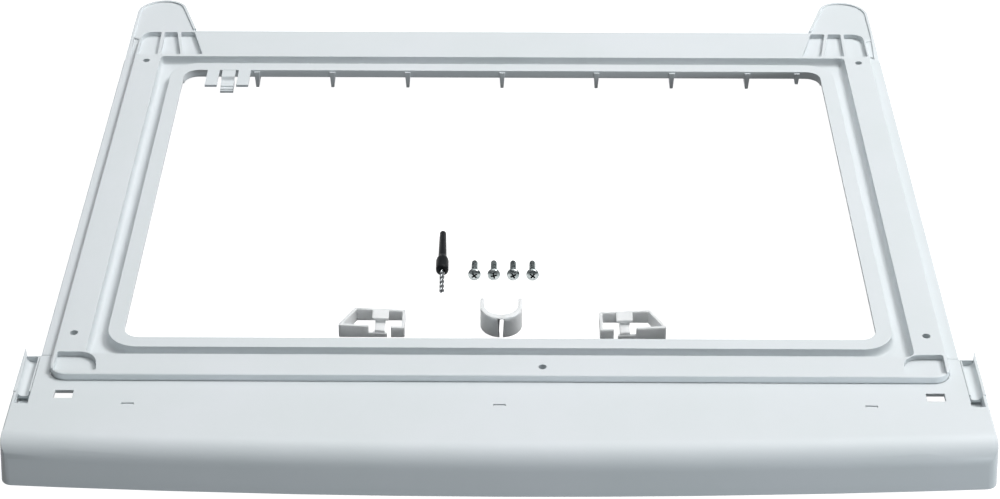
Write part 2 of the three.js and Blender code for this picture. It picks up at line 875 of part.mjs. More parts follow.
// A side clip: a round-bottomed channel whose outer wall lines up with the fascia and ends in a point
function sideClipSolid(side) {
  const top = fasciaHeight;
  const bottom = top - sideClipDepth;
  const floor = top - sideClipChannelDepth;
  const outerX = clipOuterX;
  const innerX = clipInnerX;
  const floorFrontY = clipSlotFrontY + sideClipHoleLength;
  const backY = stepY + fasciaRearLength;
  const tipY = backY + sideClipTail;
  const wallInnerX = outerX - sideClipWall;
  const mirrored = (corners) => corners.map((point) => corner(side * point.x, point.y, point.radius));
  const outerWall = upright(
    mirrored([
      corner(outerX, floorFrontY),
      corner(outerX, tipY),
      corner(wallInnerX, backY),
      corner(wallInnerX, floorFrontY),
    ]),
    bottom,
    top,
  );
  const channelSection = mirrored([
    corner(wallInnerX + sideClipWall / 2, floor - sideClipFloorWall),
    corner(innerX, floor - sideClipFloorWall),
    corner(innerX, top - clearance),
    corner(innerX + sideClipWall / 2, top - clearance),
    corner(innerX + sideClipWall / 2, floor, sideClipRound / 2),
    corner(wallInnerX, floor, sideClipRound),
    corner(wallInnerX, top - sideClipWall / 2),
    corner(wallInnerX + sideClipWall / 2, top - sideClipWall / 2),
  ]);
  const channel = alongY(channelSection, floorFrontY, backY);
  const endSection = mirrored([
    corner(wallInnerX + sideClipWall / 2, floor - sideClipFloorWall),
    corner(innerX, floor - sideClipFloorWall),
    corner(innerX, top - clearance),
    corner(wallInnerX + sideClipWall / 2, top - clearance),
  ]);
  const endWall = alongY(endSection, backY - sideClipEndWall, backY);
  const legSection = mirrored([
    corner(innerX, bottom),
    corner(innerX + sideClipWall, bottom),
    corner(innerX + sideClipWall, floor),
    corner(innerX, floor),
  ]);
  const leg = alongY(legSection, floorFrontY + clipLedgeOverlap + clearance, backY);
  return joined([outerWall, channel, endWall, leg]);
}

// A wedge bracket: an open frame with one slanted end, a shelf with a tongue, and a notched front
function bracketSolid(side, nearX, frontInset) {
  const frontY = openingFrontY + frontInset;
  const place = (x, y, radius = 0) => corner(side * (nearX + x), frontY + y, radius);
  const bottom = frameUnderside;
  const footprint = [
    place(0, 0, bracketRadius),
    place(bracketFrontWidth, 0, bracketRadius),
    place(bracketRearWidth, bracketDepth, bracketRadius),
    place(0, bracketDepth, bracketRadius),
  ];
  const slope = (bracketTallHeight - bracketLowHeight) / bracketFrontWidth;
  const heightAt = (x) => bottom + bracketLowHeight + slope * x;
  const roofEnd = bracketFrontWidth + overrun;
  const under = (drop) => {
    const section = [
      corner(side * (nearX - overrun), bottom),
      corner(side * (nearX + roofEnd), bottom),
      corner(side * (nearX + roofEnd), heightAt(roofEnd) - drop),
      corner(side * (nearX - overrun), heightAt(-overrun) - drop),
    ];
    return alongY(section, frontY - overrun, frontY + bracketDepth + overrun);
  };
  const tall = bottom + bracketTallHeight + overrun;
  const walls = upright(footprint, bottom, tall, inset(footprint, bracketWall)).intersect(under(0));

  const shelfLeft = shelfPlace - shelfWidth / 2;
  const shelfRight = shelfPlace + shelfWidth / 2;
  const backInner = bracketDepth - bracketWall / 2;
  const shelfFront = bracketDepth - bracketWall - shelfLength;
  const shelfOutline = [
    place(shelfLeft, shelfFront),
    place(shelfRight, shelfFront),
    place(shelfRight, backInner),
    place(shelfLeft, backInner),
  ];
  const shelf = upright(shelfOutline, bottom, tall).intersect(under(0)).subtract(under(shelfThickness));
  const tongueLeft = shelfPlace - shelfTongueWidth / 2;
  const tongueRight = shelfPlace + shelfTongueWidth / 2;
  const tongueOutline = [
    place(tongueLeft, bracketWall / 2),
    place(tongueRight, bracketWall / 2),
    place(tongueRight, shelfFront + shelfThickness),
    place(tongueLeft, shelfFront + shelfThickness),
  ];
  const tongueTop = upright(tongueOutline, bottom, tall).intersect(under(shelfTongueDrop));
  const tongue = tongueTop.subtract(under(shelfTongueDrop + shelfThickness));
  const riserOutline = [
    place(tongueLeft, shelfFront),
    place(tongueRight, shelfFront),
    place(tongueRight, shelfFront + shelfThickness),
    place(tongueLeft, shelfFront + shelfThickness),
  ];
  const riser = upright(riserOutline, bottom, tall).intersect(under(0));
  const riserCut = under(shelfTongueDrop + shelfThickness);

  const notchLeft = shelfPlace - notchWidth / 2;
  const notchRight = shelfPlace + notchWidth / 2;
  const notchOutline = [
    place(notchLeft, -overrun),
    place(notchRight, -overrun),
    place(notchRight, bracketWall + clearance),
    place(notchLeft, bracketWall + clearance),
  ];
  const notch = upright(notchOutline, bottom, tall).subtract(under(notchDepth));
  const slitOutline = [
    place(notchLeft, -overrun),
    place(notchLeft + bracketSlitWidth, -overrun),
    place(notchLeft + bracketSlitWidth, bracketWall + clearance),
    place(notchLeft, bracketWall + clearance),
  ];
  const slit = upright(slitOutline, bottom - overrun, tall);
  const inner = joined([shelf, tongue, riser.subtract(riserCut)]);
  return walls.subtract(joined([notch, slit])).add(inner);
}

// The hose clip: a horseshoe with a thick front, slender arms and a slit under a bridge
function hoseClipSolid() {
  const half = hoseClipWidth / 2;
  const boreHalf = hoseClipBore / 2;
  const bottom = frameUnderside;
  const top = bottom + hoseClipHeight;
  const centreY = hoseClipFrontY + half;
  const backY = hoseClipFrontY + hoseClipLength;
  const boreY = hoseClipFrontY + hoseClipFrontWall + boreHalf;
  const tipRadius = (half - boreHalf) / 2;
  const outline = new THREE.Shape();
  outline.moveTo(hoseClipX + half, backY - tipRadius);
  outline.absarc(hoseClipX + half - tipRadius, backY - tipRadius, tipRadius, 0, Math.PI, false);
  outline.lineTo(hoseClipX + boreHalf, boreY);
  outline.absarc(hoseClipX, boreY, boreHalf, 0, Math.PI, true);
  outline.lineTo(hoseClipX - boreHalf, backY - tipRadius);
  outline.absarc(hoseClipX - half + tipRadius, backY - tipRadius, tipRadius, 0, Math.PI, false);
  outline.lineTo(hoseClipX - half, centreY);
  outline.absarc(hoseClipX, centreY, half, Math.PI, Math.PI * 2, false);
  const depth = top - bottom;
  const settings = { depth, bevelEnabled: false, curveSegments: hoseClipSteps };
  const geometry = new THREE.ExtrudeGeometry(outline, settings);
  geometry.translate(0, 0, bottom);
  const slitHalf = hoseClipSlit / 2;
  const slit = block(
    hoseClipX - slitHalf,
    hoseClipX + slitHalf,
    hoseClipFrontY - overrun,
    centreY,
    bottom - overrun,
    top - hoseClipBridge,
  );
  return solidOf(geometry).subtract(slit);
}

// A pan head screw with a cross recess, upright on its tip
function screwSolid() {
  const shaft = screwShaftDiameter / 2;
  const head = screwHeadDiameter / 2;
  const tip = screwTipDiameter / 2;
  const seat = screwLength;
  const profile = [
    new THREE.Vector2(0, 0),
    new THREE.Vector2(tip / 2, 0),
    new THREE.Vector2(tip, screwTipLength / 2),
    new THREE.Vector2(shaft, screwTipLength),
    new THREE.Vector2(shaft, seat),
    new THREE.Vector2(head, seat),
    new THREE.Vector2(head, seat + screwHeadDrop),
    ...screwDomeShares.map(([out, up]) => new THREE.Vector2(head * out, seat + screwHeadHeight * up)),
    new THREE.Vector2(0, seat + screwHeadHeight),
  ];
  const geometry = new THREE.LatheGeometry(profile, screwSteps);
  geometry.rotateX(Math.PI / 2);
  const body = solidOf(geometry);
  const top = screwLength + screwHeadHeight;
  const armHalf = recessArmLength / 2;
  const widthHalf = recessArmWidth / 2;
  const armSection = [
    corner(-armHalf, top + overrun),
    corner(-armHalf, top),
    corner(-armHalf / 2, top - recessCrossDepth),
    corner(armHalf / 2, top - recessCrossDepth),
    corner(armHalf, top),
    corner(armHalf, top + overrun),
  ];
  const cross = alongX(armSection, -widthHalf, widthHalf).add(alongY(armSection, -widthHalf, widthHalf));
  return body.subtract(cross);
}

// The black shank and stop collar of the drill, upright with the shank on top
function drillStopSolid() {
  const collar = collarDiameter / 2;
  const bore = bitDiameter / 2 + clearance;
  const shoulderZ = collarLength;
  const shankZ = shoulderZ + collarShoulder;
  const topZ = shankZ + shankLength;
  const profile = [
    new THREE.Vector2(0, bitSocket),
    new THREE.Vector2(bore, bitSocket),
    new THREE.Vector2(bore, 0),
    new THREE.Vector2(collar - collarChamfer, 0),
    new THREE.Vector2(collar - collarChamfer / 2, collarChamfer / 4),
    new THREE.Vector2(collar, collarChamfer),
    new THREE.Vector2(collar, shoulderZ),
    new THREE.Vector2((collar + shankFootDiameter / 2) / 2, shoulderZ + collarShoulder * shoulderRoundShare),
    new THREE.Vector2(shankFootDiameter / 2, shankZ),
    new THREE.Vector2(shankTopDiameter / 2, topZ - shankEndRound),
    new THREE.Vector2(shankTopDiameter / 2 - shankEndRound, topZ),
    new THREE.Vector2(0, topZ),
  ];
  const geometry = new THREE.LatheGeometry(profile, screwSteps + 4);
  geometry.rotateX(Math.PI / 2);
  return solidOf(geometry);
}

// The twist bit: a two-flute section that turns as it runs down to the point
function drillBitSolid() {
  const radius = bitDiameter / 2;
  const points = [];
  for (let step = 0; step < fluteSectionSteps; step += 1) {
    const angle = (Math.PI * 2 * step) / fluteSectionSteps;
    const flute = Math.max(0, Math.sin(angle * 2 + Math.PI / 4));
    const reach = radius - (radius - bitCore) * flute;
    points.push(new THREE.Vector2(Math.cos(angle) * reach, Math.sin(angle) * reach));
  }
  const plainLength = bitSocket - clearance;
  const depth = plainLength + bitReach;
  const geometry = new THREE.ExtrudeGeometry(new THREE.Shape(points), {
    depth,
    steps: fluteSteps,
    bevelEnabled: false,
  });
  const position = geometry.attributes.position;
  for (let index = 0; index < position.count; index += 1) {
    const z = position.getZ(index);
    const turn = (Math.PI * 2 * z) / fluteLead;
    const taper = z === 0 ? bitPoint / bitDiameter : 1;
    const x = position.getX(index) * taper;
    const y = position.getY(index) * taper;
    const turnedX = x * Math.cos(turn) - y * Math.sin(turn);
    const turnedY = x * Math.sin(turn) + y * Math.cos(turn);
    position.setXYZ(index, turnedX, turnedY, z - bitReach);
  }
  return solidOf(geometry);
}

// The whole kit
const kit = new THREE.Group();
kit.add(meshOf('tray_frame', frameSolid(), framePlastic));
kit.add(meshOf('front_fascia', fasciaSolid(), fasciaPlastic));
kit.add(meshOf('side_clip_left', sideClipSolid(-1), clipPlastic));
kit.add(meshOf('side_clip_right', sideClipSolid(1), clipPlastic));
kit.add(meshOf('cable_tongue', tongueSolid(), framePlastic));
kit.add(meshOf('wedge_bracket_left', bracketSolid(-1, leftBracketX, leftBracketInset), loosePlastic));
kit.add(meshOf('wedge_bracket_right', bracketSolid(1, rightBracketX, rightBracketInset), loosePlastic));
kit.add(meshOf('hose_clip', hoseClipSolid(), loosePlastic));

// Each screw lies on its head's rim and the end of its shaft, with the head to the front
const screwLean = Math.atan2((screwHeadDiameter - screwShaftDiameter) / 2, screwLength - screwTipLength);
for (let index = 0; index < screwCount; index += 1) {
  const screw = meshOf(`screw_${index + 1}`, screwSolid(), zincSteel);
  screw.position.z = -screwLength;
  const lying = new THREE.Group();
  lying.add(screw);
  lying.rotation.x = Math.PI / 2 - screwLean;
  const x = screwRowX + (index - (screwCount - 1) / 2) * screwPitch;
  const lift = (screwHeadDiameter / 2) * Math.cos(screwLean);
  lying.position.set(x, screwFrontY + screwHeadHeight, frameUnderside + lift);
  kit.add(lying);
}

// The drill lies on its collar and the end of its shank, with the bit to the front
const drill = new THREE.Group();
drill.add(meshOf('drill_stop', drillStopSolid(), blackPlastic));
drill.add(meshOf('drill_bit', drillBitSolid(), drillSteel));
const drillLength = collarLength + collarShoulder + shankLength;
const restLength = drillLength - shankEndRound - collarLength;
const drillLean = Math.atan2((collarDiameter - shankTopDiameter) / 2, restLength);
const drillLift = (collarDiameter / 2) * Math.cos(drillLean) + collarLength * Math.sin(drillLean);
drill.rotation.x = -Math.PI / 2 - drillLean;
const turned = new THREE.Group();
turned.add(drill);
turned.rotation.z = THREE.MathUtils.degToRad(drillTurnDegrees);
turned.position.set(drillX, drillBackY - drillLength, frameUnderside + drillLift);
kit.add(turned);

export default kit;
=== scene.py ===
"""Looks of the moulded stacking kit: frame, bowed front cover, cable holder and the loose fitting pieces.

Sizes are in millimetres and angles in degrees, unless a comment says otherwise."""

import math

import bmesh
import bpy
from mathutils import Matrix, Vector


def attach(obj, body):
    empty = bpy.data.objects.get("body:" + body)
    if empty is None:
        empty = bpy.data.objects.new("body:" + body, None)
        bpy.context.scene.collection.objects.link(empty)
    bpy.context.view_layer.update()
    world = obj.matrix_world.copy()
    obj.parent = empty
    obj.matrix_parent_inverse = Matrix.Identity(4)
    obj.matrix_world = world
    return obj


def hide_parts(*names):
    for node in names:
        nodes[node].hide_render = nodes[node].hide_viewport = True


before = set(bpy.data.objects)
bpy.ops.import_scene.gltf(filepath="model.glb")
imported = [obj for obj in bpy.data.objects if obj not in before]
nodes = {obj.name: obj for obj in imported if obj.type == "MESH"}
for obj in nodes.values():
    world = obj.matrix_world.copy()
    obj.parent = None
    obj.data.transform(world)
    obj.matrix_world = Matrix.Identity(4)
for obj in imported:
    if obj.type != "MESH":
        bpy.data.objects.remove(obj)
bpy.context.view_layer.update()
scene = bpy.context.scene
MM = 0.001

# How near points are to be one point, to lie on a cutting plane, and to lie on a line of the frame
SAME_POINT = 0.01
ON_PLANE = 0.001
ON_LINE = 0.1

# Camera, with its place and its near and far limits in metres
CAMERA_PLACE = (0.0045, -1.3545, 0.8963)
CAMERA_LIMITS = (0.05, 30.0)
CAMERA_PAN = 0.217
CAMERA_TILT = 56.215
CAMERA_ROLL = 0.1045
CAMERA_LENS = 84.726
CAMERA_SENSOR = 36.0

# Soft boxes: place, target and size in metres, power in watts, colour
WHITE = (1.0, 1.0, 1.0)
SOFT_BOXES = {
    "overhead": ((0.2, 0.7, 2.0), (0.0, 0.0, 0.0), (2.4, 2.0), 27.0, WHITE),
    "key": ((2.2, 0.65, 3.1), (0.0, 0.0, 0.0), (1.2, 1.2), 98.0, WHITE),
    "front_strip": ((1.15, -1.6, 0.06), (0.0, -0.25, 0.02), (1.2, 0.08), 13.0, (0.88, 0.95, 1.0)),
}
SKY_COLOUR = (0.93, 0.97, 1.0, 1.0)
SKY_STRENGTH = 0.2
BELOW_STRENGTH = 0.03
HORIZON_BLEND = 0.05

# Stage: the floor is at zero, under the cover's lower edge, and the frame lies on the worktop
WORKTOP = 21.6
STAGE_SLABS = {
    "floor": ((-4000.0, -4000.0, -20.0), (4000.0, 4000.0, 0.0)),
    "worktop": ((-282.5, -232.0, 0.0), (282.5, 229.8, WORKTOP)),
}

# Moulded skins: rounding of their sharp edges
EDGE_SEGMENTS = 2
EDGE_ANGLE = 38.0
FLAT_ANGLE = 0.6

# Planes that part the frame's and the cover's large faces, so that none has a hole in it
CELL_COLUMNS = (-266, -254, -200, -120, -60, 0, 26.2, 60, 120, 200, 254, 266)
CELL_ROWS = (-250, -230, -196.95, -181, -163.15, -100, -40, 20, 80, 130, 158, 184.35, 225, 250)

# Frame: front ends of the beads round the ears, and of the ears' plates, on the side rails
RAIL_TOP = 31.0
BEAD_END_Y = 195.35
BEAD_END_REACH = 2.3
BEAD_INNER_X = 279.9
BEAD_OUTER_X = 282.0
BEAD_LEAST_Z = 36.0
BEAD_SLOPE = 0.19
BEAD_FLARE = 1.8
BEAD_WELD_Y = (190.0, 197.0)
BEAD_WELD_X = 281.0
BEAD_WELD_Z = 29.9
BEAD_WELD = 0.9
EAR_END_X = (275.7, 280.0)
EAR_END_Y = (217.3, 219.4)
EAR_RAMP_Y = 201.0

# Frame: outer walls of the recesses in its front corners
RECESS_WALL_X = (272.5, 274.2)
RECESS_WALL_Y = (-202.0, -182.5)
RECESS_WALL_Z = 31.5
RECESS_DRAW_IN = 0.9

# Screws: four of them in a row, each on its head's rim and the end of its shaft
SCREW_X = (-17.05, -4.35, 8.35, 21.05)
SCREW_SEAT_Y = -82.3
SCREW_TURNS = (38, 12, 27, 52)
SCREW_LENGTH = 18.5
SCREW_HEAD_RADIUS = 4.2
SCREW_HEAD_HEIGHT = 2.8
SCREW_CORE_RADIUS = 1.55
SCREW_TIP_LENGTH = 2.4
SCREW_SIDES = 48
SCREW_SHARP_ANGLE = 40
THREAD_RADIUS = 2.1
THREAD_CREST_RADIUS = THREAD_RADIUS - 0.02
THREAD_FOOT_RADIUS = SCREW_CORE_RADIUS - 0.1
THREAD_PITCH = 1.4
THREAD_STEPS = 20
THREAD_TIP_GAP = 0.4
THREAD_HEAD_GAP = 1.2
THREAD_CREST = 0.1
THREAD_FOOT_SHARE = 0.24
THREAD_TIP_SHARE = 0.32
THREAD_END_LENGTH = 1.6
THREAD_END_SLOPE = 0.35
THREAD_END_SHARE = 0.7
# In radians: the screw lies on its head's rim and on its thread beside the point
SCREW_LEAN = math.atan2(SCREW_HEAD_RADIUS - THREAD_RADIUS, SCREW_LENGTH - SCREW_TIP_LENGTH)

# Cross recess in a screw's head
CROSS_SPAN = 5.3
CROSS_WIDTH = 1.25
CROSS_CUT = 3.0
CROSS_DEPTH = 2.1
CROSS_SHALLOW = 1.0
CROSS_FOOT_SHARES = (0.42, 0.7)
CROSS_RADIUS = 2.6
# Depths under the head's top between which the cross's faces get painted shade
CROSS_SHADE_PAINT_DEPTH = (0.35, 2.2)

# Drill: a shank with a stop collar, and a twist bit in it
DRILL_PLACE = (-38.2, -80.4)
DRILL_TURN = 0.8
SHANK_LENGTH = 31.6
SHANK_TOP_RADIUS = 2.2
SHANK_FOOT_RADIUS = 2.8
SHANK_END_ROUND = 0.8
COLLAR_RADIUS = 4.2
COLLAR_LENGTH = 13.5
COLLAR_SHOULDER = 4.6
STOP_SIDES = 56
STOP_SHARP_ANGLE = 50
BORE_DEPTH = 3.0
BORE_CLEARANCE = 0.2
BIT_RADIUS = 1.6
BIT_REACH = 26.4
BIT_SOCKET = 4.0
BIT_POINT = 1.3
BIT_POINT_SHARE = 0.12
BIT_SIDES = 36
BIT_STEPS = 90
BIT_SHARP_ANGLE = 35
FLUTE_LEAD = 11.0
FLUTE_SHARE = 0.38
FLUTE_FULLNESS = 0.7

# Hose clip
CLIP_X = 0.8
CLIP_FRONT_Y = -147.4
CLIP_HEIGHT = 15.0
CLIP_HALF = 13.4
CLIP_LENGTH = 22.4
CLIP_BORE_HALF = 10.7
CLIP_FRONT_WALL = 4.4
CLIP_TIP_STEPS = 12
CLIP_BORE_STEPS = 44
CLIP_FRONT_STEPS = 52
CLIP_SLIT = 3.2
CLIP_SLIT_CUT = 12.0
CLIP_SLIT_Y = 2.0
CLIP_SLIT_FOOT_SHARE = 0.6
CLIP_BRIDGE = 1.2
CLIP_EDGE = 0.3

# Cable holder's tongue: its line runs out from its root on the rear rim, and down
TONGUE_X = (-207.3, -197.5)
TONGUE_ROOT_Y = 169.95
TONGUE_TOP = 35.6
TONGUE_THICKNESS = 1.8
TONGUE_UNDER_SHIFT = 0.25
TONGUE_EDGE = 0.25
TONGUE_LINE = (
    (0.0, 0.0),
    (8.0, 0.0),
    (8.8, -0.2),
    (9.5, -0.8),
    (10.4, -2.1),
    (11.1, -2.7),
    (12.0, -3.0),
    (22.6, -4.6),
)
TONGUE_RIDGES = (17.4, 21.0)
RIDGE_LENGTH = 1.0
RIDGE_HEIGHT = 1.4
RIDGE_INSET = 0.4


# Camera and light

def photo_camera():
    data = bpy.data.cameras.new("photo_camera")
    data.sensor_width = CAMERA_SENSOR
    data.lens = CAMERA_LENS
    data.clip_start, data.clip_end = CAMERA_LIMITS
    camera = bpy.data.objects.new("photo_camera", data)
    scene.collection.objects.link(camera)
    camera.location = CAMERA_PLACE
    pan = Matrix.Rotation(math.radians(CAMERA_PAN), 4, "Z")
    tilt = Matrix.Rotation(math.radians(CAMERA_TILT), 4, "X")
    roll = Matrix.Rotation(math.radians(CAMERA_ROLL), 4, "Z")
    camera.rotation_euler = (pan @ tilt @ roll).to_euler()
    scene.camera = camera


def soft_box(name, place, target, size, power, colour):
    data = bpy.data.lights.new(name, "AREA")
    data.shape = "RECTANGLE"
    data.size, data.size_y = size
    data.energy = power
    data.color = colour
    lamp = bpy.data.objects.new(name, data)
    scene.collection.objects.link(lamp)
    lamp.location = place
    direction = Vector(target) - Vector(place)
    lamp.rotation_euler = direction.to_track_quat("-Z", "Y").to_euler()


def studio_light():
    """A pale sky above, a large soft box overhead, one high on the right and a low strip in front."""
    scene.view_settings.view_transform = "Standard"
    world = bpy.data.worlds.new("studio")
    world.use_nodes = True
    tree = world.node_tree
    around = add_node(tree, "ShaderNodeTexCoord")
    height = add_node(tree, "ShaderNodeSeparateXYZ", None, {"Vector": around.outputs["Generated"]})
    # The sky ends at the floor, so nothing shines up into the hollows
    sky = add_node(
        tree,
        "ShaderNodeMapRange",
        {
            "From Min": -HORIZON_BLEND,
            "From Max": HORIZON_BLEND,
            "To Min": BELOW_STRENGTH,
            "To Max": SKY_STRENGTH,
        },
        {"Value": height.outputs["Z"]},
    )
    background = tree.nodes["Background"]
    background.inputs["Color"].default_value = SKY_COLOUR
    tree.links.new(sky.outputs["Result"], background.inputs["Strength"])
    scene.world = world
    for name, settings in SOFT_BOXES.items():
        soft_box(name, *settings)


# Materials

def linear(hex_colour):
    """An sRGB hex value as the linear colour that a shader takes."""
    channels = [int(hex_colour[i : i + 2], 16) / 255 for i in (0, 2, 4)]
    return [c / 12.92 if c <= 0.04045 else ((c + 0.055) / 1.055) ** 2.4 for c in channels] + [1.0]


def per_metre(size):
    """How often a pattern of this size in millimetres repeats in a metre."""
    return 1000 / size


def add_node(tree, kind, settings=None, links=None):
    """Adds a node; settings sets its fields and input values, links joins inputs to other nodes' outputs."""
    node = tree.nodes.new(kind)
    for key, value in (settings or {}).items():
        if hasattr(node, key):
            setattr(node, key, value)
        else:
            node.inputs[key].default_value = value
    for key, source in (links or {}).items():
        tree.links.new(source, node.inputs[key])
    return node


def plain_finish(name, hex_colour, roughness, metallic=0.0, ior=None):
    """A new material with its plain values on the shader's own sockets."""
    material = bpy.data.materials.new(name)
    material.use_nodes = True
    shader = material.node_tree.nodes["Principled BSDF"]
    shader.inputs["Base Color"].default_value = linear(hex_colour)
    shader.inputs["Roughness"].default_value = roughness
    shader.inputs["Metallic"].default_value = metallic
    if ior:
        shader.inputs["IOR"].default_value = ior
    return material, material.node_tree, shader


def moulded_plastic(name, hex_colour, cloud_hex, roughness, grain, grain_depth, glow=0.0):
    """Injection-moulded ABS or nylon: a fine spark-eroded grain, drifting gloss, a hint of flow clouding.

    It looks satin and even from afar, with soft waves where walls sank as they cooled. Natural nylon lets
    light through its walls, and glow is how far the light spreads in it."""
    material, tree, shader = plain_finish(name, hex_colour, roughness, ior=1.53)
    if glow:
        shader.inputs["Subsurface Weight"].default_value = 0.8
        shader.inputs["Subsurface Radius"].default_value = (1.0, 1.0, 1.0)
        shader.inputs["Subsurface Scale"].default_value = glow * MM
    place = add_node(tree, "ShaderNodeTexCoord").outputs["Object"]
    # Real grain is about 0.1 mm wide, too fine to show, so it is drawn as coarse as the caller says
    eroded = add_node(
        tree,
        "ShaderNodeTexNoise",
        {"Scale": per_metre(grain), "Detail": 3.0, "Roughness": 0.6},
        {"Vector": place},
    )
    sunk = add_node(tree, "ShaderNodeTexNoise", {"Scale": per_metre(38), "Detail": 1.0}, {"Vector": place})
    waves = add_node(
        tree,
        "ShaderNodeBump",
        {"Strength": 0.25, "Distance": 0.25 * MM},
        {"Height": sunk.outputs["Fac"]},
    )
    bump = add_node(
        tree,
        "ShaderNodeBump",
        {"Strength": 0.35, "Distance": grain_depth * MM},
        {"Height": eroded.outputs["Fac"], "Normal": waves.outputs["Normal"]},
    )
    tree.links.new(bump.outputs["Normal"], shader.inputs["Normal"])
    drift = add_node(
        tree,
        "ShaderNodeTexNoise",
        {"Scale": per_metre(111.1), "Detail": 2.0},
        {"Vector": place},
    )
    gloss = add_node(
        tree,
        "ShaderNodeMapRange",
        {"From Min": 0.3, "From Max": 0.7, "To Min": roughness - 0.04, "To Max": roughness + 0.05},
        {"Value": drift.outputs["Fac"]},
    )
    tree.links.new(gloss.outputs["Result"], shader.inputs["Roughness"])
    cloud = add_node(
        tree,
        "ShaderNodeTexNoise",
        {"Scale": per_metre(70), "Detail": 4.0, "Roughness": 0.55},
        {"Vector": place},
    )
    tone = add_node(tree, "ShaderNodeValToRGB", None, {"Fac": cloud.outputs["Fac"]})
    tone.color_ramp.elements[0].position = 0.35
    tone.color_ramp.elements[0].color = linear(cloud_hex)
    tone.color_ramp.elements[1].position = 0.65
    tone.color_ramp.elements[1].color = linear(hex_colour)
    tree.links.new(tone.outputs["Color"], shader.inputs["Base Color"])
    return material


def zinc_plate(name):
    """Zinc-plated steel, rolled and tumbled: bright grey, with a blotchy passivated gloss and fine nicks."""
    material, tree, shader = plain_finish(name, "A4ACAC", 0.3, metallic=1.0)
    place = add_node(tree, "ShaderNodeTexCoord").outputs["Object"]
    blotch = add_node(tree, "ShaderNodeTexNoise", {"Scale": per_metre(2.2), "Detail": 3.0}, {"Vector": place})
    gloss = add_node(
        tree,
        "ShaderNodeMapRange",
        {"From Min": 0.3, "From Max": 0.7, "To Min": 0.2, "To Max": 0.42},
        {"Value": blotch.outputs["Fac"]},
    )
    tree.links.new(gloss.outputs["Result"], shader.inputs["Roughness"])
    tone = add_node(tree, "ShaderNodeValToRGB", None, {"Fac": blotch.outputs["Fac"]})
    tone.color_ramp.elements[0].position = 0.35
    tone.color_ramp.elements[0].color = linear("838C8C")
    tone.color_ramp.elements[1].position = 0.65
    tone.color_ramp.elements[1].color = linear("BEC4C4")
    tree.links.new(tone.outputs["Color"], shader.inputs["Base Color"])
    # Real nicks are about 0.2 mm wide, too fine to show, so they are drawn at 0.7 mm
    nicks = add_node(tree, "ShaderNodeTexVoronoi", {"Scale": per_metre(0.7)}, {"Vector": place})
    bump = add_node(
        tree,
        "ShaderNodeBump",
        {"Strength": 0.3, "Distance": 0.03 * MM},
        {"Height": nicks.outputs["Distance"]},
    )
    tree.links.new(bump.outputs["Normal"], shader.inputs["Normal"])
    return material


def painted_recess_shade(name):
    """The punched cross in a screw's head, painted dark: painted shade between its steep walls, though the
    recess is plated like the head.

    Smears of plating in it make its tone, gloss and bumps vary at random."""
    material, tree, shader = plain_finish(name, "1F2224", 0.6, metallic=0.3)
    place = add_node(tree, "ShaderNodeTexCoord").outputs["Object"]
    # Real smears are about 0.3 mm wide, too fine to show, so they are drawn at 0.8 mm
    smear = add_node(
        tree,
        "ShaderNodeTexNoise",
        {"Scale": per_metre(0.8), "Detail": 3.0, "Roughness": 0.65},
        {"Vector": place},
    )
    tone = add_node(tree, "ShaderNodeValToRGB", None, {"Fac": smear.outputs["Fac"]})
    tone.color_ramp.elements[0].position = 0.35
    tone.color_ramp.elements[0].color = linear("15181A")
    tone.color_ramp.elements[1].position = 0.7
    tone.color_ramp.elements[1].color = linear("33383B")
    tree.links.new(tone.outputs["Color"], shader.inputs["Base Color"])
    gloss = add_node(
        tree,
        "ShaderNodeMapRange",
        {"From Min": 0.3, "From Max": 0.7, "To Min": 0.7, "To Max": 0.45},
        {"Value": smear.outputs["Fac"]},
    )
    tree.links.new(gloss.outputs["Result"], shader.inputs["Roughness"])
    bump = add_node(
        tree,
        "ShaderNodeBump",
        {"Strength": 0.3, "Distance": 0.03 * MM},
        {"Height": smear.outputs["Fac"]},
    )
    tree.links.new(bump.outputs["Normal"], shader.inputs["Normal"])
    return material


def ground_tool_steel(name):
    """High-speed steel, black oxidised and ground: dark grey with fine lines round the bit."""
    material, tree, shader = plain_finish(name, "4A4C4E", 0.38, metallic=1.0)
    place = add_node(tree, "ShaderNodeTexCoord").outputs["Object"]
    # Real grinding lines are about 0.1 mm apart, too fine to show, so they are drawn 0.69 mm apart.
    # The wave node turns by 20 radians for each unit of its scale
    lines = add_node(
        tree,
        "ShaderNodeTexWave",
        {
            "wave_type": "BANDS",
            "bands_direction": "Y",
            "Scale": per_metre(0.69085) * math.tau / 20,
            "Distortion": 2.0,
            "Detail": 2.0,
        },
        {"Vector": place},
    )
    tone = add_node(tree, "ShaderNodeValToRGB", None, {"Fac": lines.outputs["Fac"]})
    tone.color_ramp.elements[0].color = linear("3E4143")
    tone.color_ramp.elements[1].color = linear("AEB2B4")
    tree.links.new(tone.outputs["Color"], shader.inputs["Base Color"])
    bump = add_node(
        tree,
        "ShaderNodeBump",
        {"Strength": 0.25, "Distance": 0.02 * MM},
        {"Height": lines.outputs["Fac"]},
    )
    tree.links.new(bump.outputs["Normal"], shader.inputs["Normal"])
    return material


